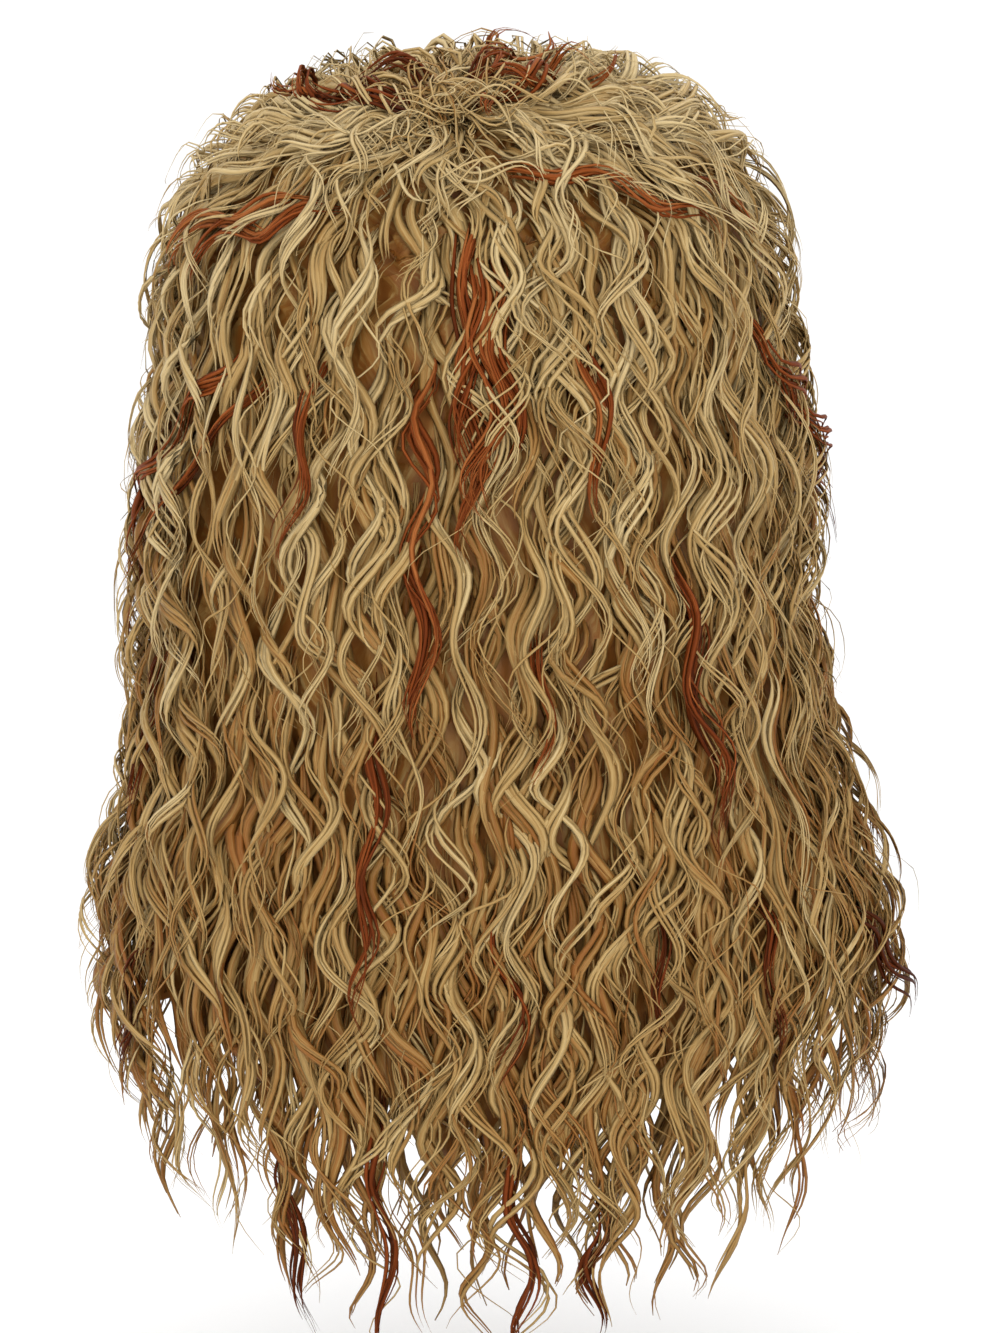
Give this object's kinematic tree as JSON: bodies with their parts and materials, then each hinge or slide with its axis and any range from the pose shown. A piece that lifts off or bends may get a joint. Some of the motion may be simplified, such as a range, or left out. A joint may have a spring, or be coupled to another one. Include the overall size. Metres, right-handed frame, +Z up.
{
  "type": "mullet wig",
  "caption": "Long curly blonde mullet wig with auburn streaks, teased crown, short fringe and sides, and an open stretch net cap with an elastic edge that grips the head.",
  "frame": {"origin": "inside top of the cap, where the wig sits on the crown of the head", "axes": "+Z up along the head's axis, +Y the way the wearer faces, so the long hair hangs on the -Y side, and +X the wearer's right"},
  "size_m": [0.3343, 0.293, 0.5457],
  "materials": {
    "blonde_hair": "satin synthetic fibre, curled",
    "auburn_hair": "satin synthetic fibre, curled",
    "cap_net": "matte knitted net",
    "edge_elastic": "matte woven elastic"
  },
  "bodies": {
    "root": {"crown_net": "cap_net", "side_net": "cap_net", "edge_band": "edge_elastic", "nape_hair": "blonde_hair", "lower_back_hair": "blonde_hair", "middle_back_hair": "blonde_hair", "upper_back_hair": "blonde_hair", "crown_back_hair": "blonde_hair", "left_side_hair": "blonde_hair", "left_crown_hair": "blonde_hair", "right_side_hair": "blonde_hair", "right_crown_hair": "blonde_hair", "fringe_hair": "blonde_hair", "front_crown_hair": "blonde_hair", "streak_nape_left": "auburn_hair", "streak_nape_right": "auburn_hair", "streak_lower_left": "auburn_hair", "streak_lower_right": "auburn_hair", "streak_middle_left": "auburn_hair", "streak_middle_right": "auburn_hair", "streak_upper_centre": "auburn_hair", "streak_upper_left": "auburn_hair", "streak_upper_right": "auburn_hair", "streak_crown_centre": "auburn_hair", "streak_crown_left": "auburn_hair", "streak_crown_right": "auburn_hair"}
  },
  "joints": []
}
